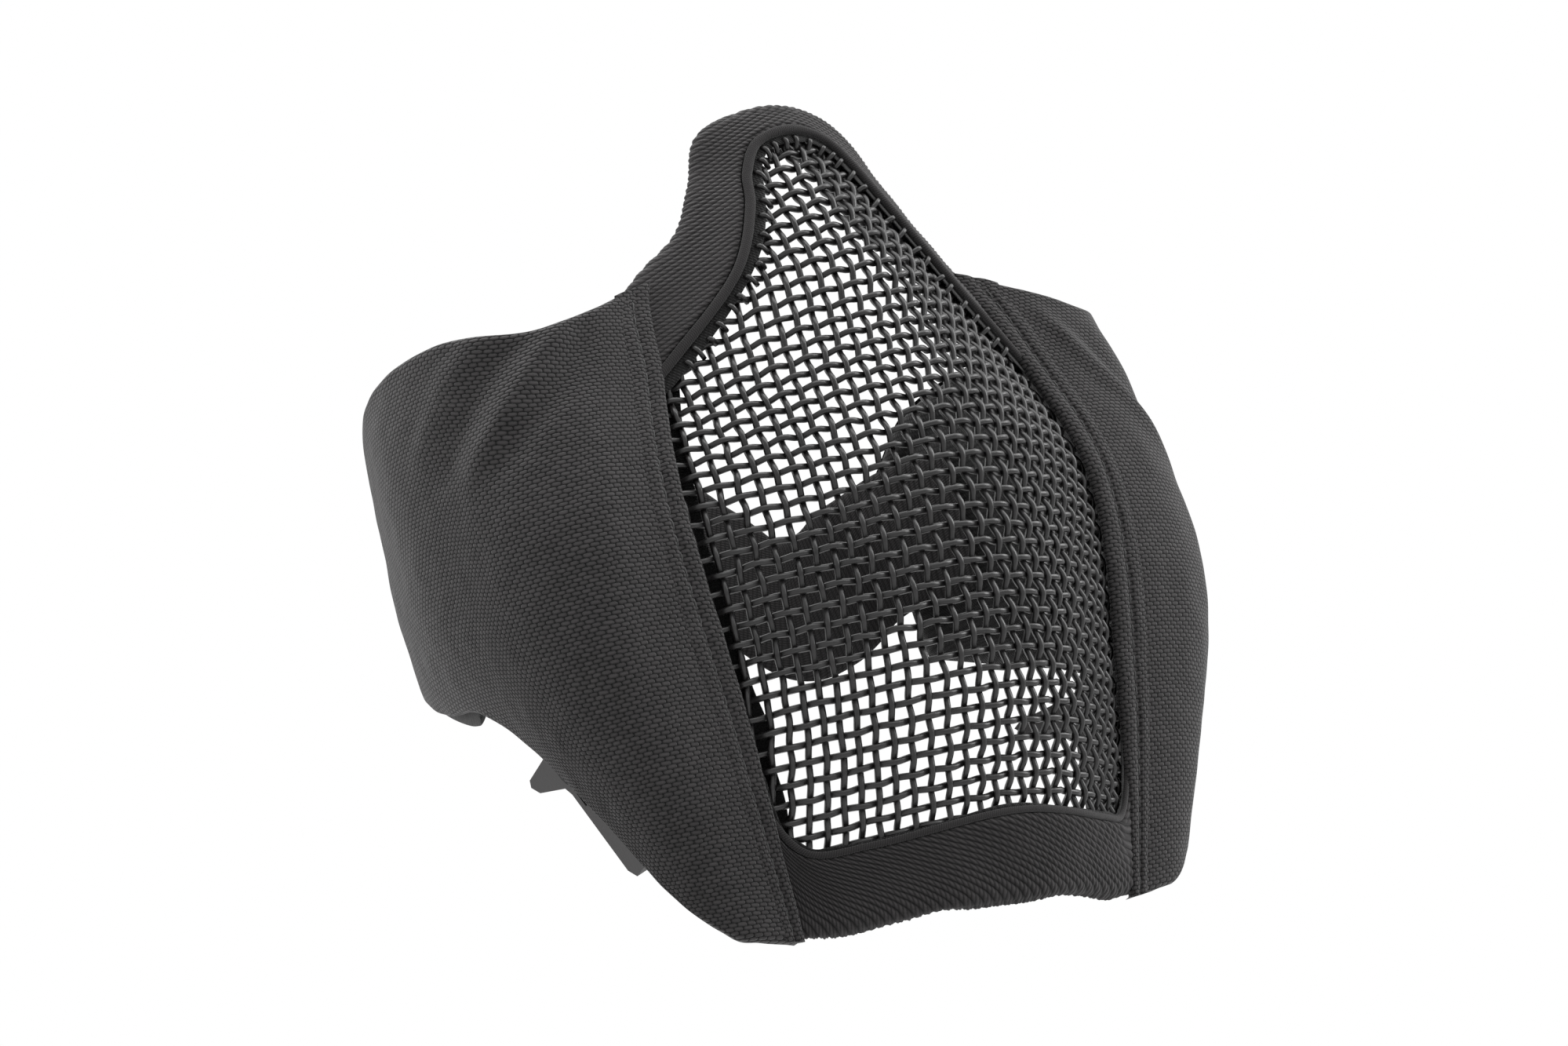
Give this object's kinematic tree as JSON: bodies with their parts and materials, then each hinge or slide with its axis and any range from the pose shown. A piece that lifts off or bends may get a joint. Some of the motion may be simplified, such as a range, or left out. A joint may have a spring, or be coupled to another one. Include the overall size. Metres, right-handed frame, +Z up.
{
  "type": "wire mesh lower face mask",
  "caption": "Lower face mask with a dished woven wire front, bound edges, padded fabric cheek wings, an adjustable neck strap and swinging helmet rail clips.",
  "frame": {"origin": "middle of the wearer's face seat, in the mirror plane, level with the mouth and in line with the front ends of the cheek seams", "axes": "+Z up, the wearer faces -Y, +X is the wearer's left"},
  "size_m": [0.1588, 0.1028, 0.1531],
  "materials": {
    "wire": "semi-gloss black coated steel wire cloth",
    "webbing": "matte ribbed webbing",
    "cordura": "matte coarse woven nylon",
    "foam": "matte closed-cell foam",
    "lining": "matte brushed tricot",
    "plastic": "smooth matte moulded nylon"
  },
  "bodies": {
    "front": {"mesh_face_panel": "wire", "nose_band": "webbing", "chin_band": "webbing", "nose_piping": "webbing", "chin_piping": "webbing", "nose_pad": "foam", "chin_pad": "foam", "right_neck_strap": "webbing", "left_neck_strap": "webbing"},
    "right_wing": {"right_cheek_shell": "cordura", "right_cheek_hem": "cordura", "right_cheek_foam": "foam", "right_cheek_lining": "lining", "right_clip_strap": "webbing"},
    "left_wing": {"left_cheek_shell": "cordura", "left_cheek_hem": "cordura", "left_cheek_foam": "foam", "left_cheek_lining": "lining", "left_clip_strap": "webbing"},
    "right_clip": {"right_rail_clip": "plastic"},
    "left_clip": {"left_rail_clip": "plastic"},
    "adjuster": {"strap_adjuster": "plastic"}
  },
  "joints": [
    {"name": "right_wing_flex", "type": "hinge", "parent": "front", "child": "right_wing", "pos_m": [-0.044, -0.006, -0.01], "axis": [0, 0, 1], "range_deg": [-10, 20], "stiffness_Nm_per_rad": 0.05, "deforming": ["right_cheek_shell", "right_cheek_hem", "right_cheek_lining", "right_neck_strap"]},
    {"name": "left_wing_flex", "type": "hinge", "parent": "front", "child": "left_wing", "pos_m": [0.044, -0.006, -0.01], "axis": [0, 0, -1], "range_deg": [-10, 20], "stiffness_Nm_per_rad": 0.05, "deforming": ["left_cheek_shell", "left_cheek_hem", "left_cheek_lining", "left_neck_strap"]},
    {"name": "right_clip_swing", "type": "hinge", "parent": "right_wing", "child": "right_clip", "pos_m": [-0.0615, 0.016, -0.0305], "axis": [-0.3326, -0.939, 0.0875], "range_deg": [0, 40]},
    {"name": "left_clip_swing", "type": "hinge", "parent": "left_wing", "child": "left_clip", "pos_m": [0.0615, 0.016, -0.0305], "axis": [-0.3326, 0.939, -0.0875], "range_deg": [0, 40]},
    {"name": "adjuster_slide", "type": "slide", "parent": "front", "child": "adjuster", "axis": [0.9981, 0, 0.0624], "range_m": [-0.003, 0.006]}
  ]
}
